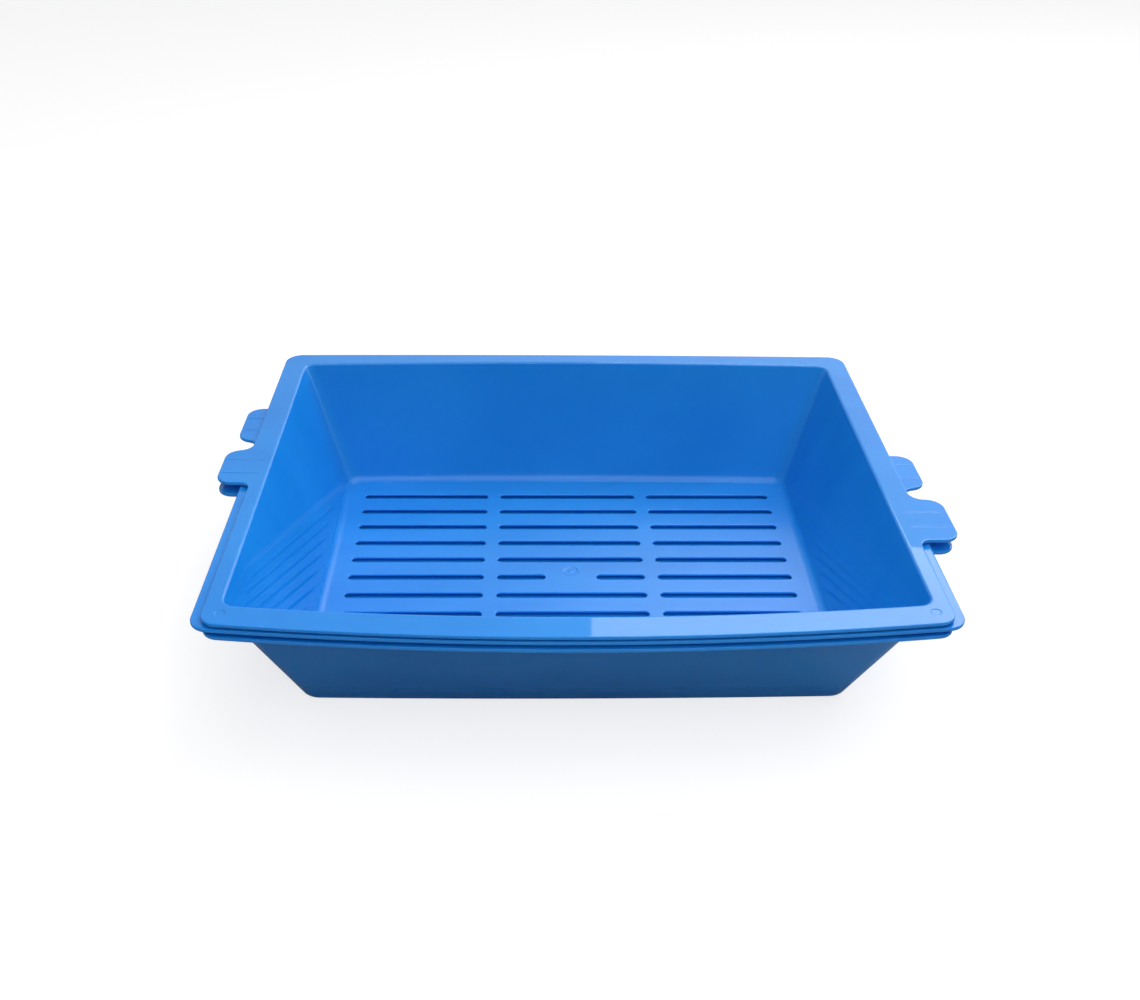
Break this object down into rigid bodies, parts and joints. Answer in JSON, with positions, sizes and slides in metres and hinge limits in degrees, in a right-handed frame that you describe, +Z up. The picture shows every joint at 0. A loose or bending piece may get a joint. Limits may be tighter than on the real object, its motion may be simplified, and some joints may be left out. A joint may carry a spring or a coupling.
{
  "type": "sifting litter tray",
  "caption": "Open self-sifting litter tray: a slotted tray nested in solid trays, with rolled rims and staggered hand tabs at the ends.",
  "frame": {"origin": "on the ground under the middle of the nested stack", "axes": "+X along the trays' length, +Y to the back (the side away from the sifting tray's right-hand tab), +Z up"},
  "size_m": [0.5275, 0.4248, 0.1054],
  "materials": {
    "tray_plastic": "glossy moulded polypropylene, mid blue, with fine flow marks"
  },
  "bodies": {
    "base_tray": {"base_tray": "tray_plastic"},
    "middle_tray": {"middle_tray": "tray_plastic"},
    "sifting_tray": {"sifting_tray": "tray_plastic"}
  },
  "joints": [
    {"name": "middle_tray_lift", "type": "slide", "parent": "base_tray", "child": "middle_tray", "axis": [0, 0, 1], "range_m": [0, 0.13]},
    {"name": "sifter_lift", "type": "slide", "parent": "middle_tray", "child": "sifting_tray", "axis": [0, 0, 1], "range_m": [0, 0.13]}
  ]
}
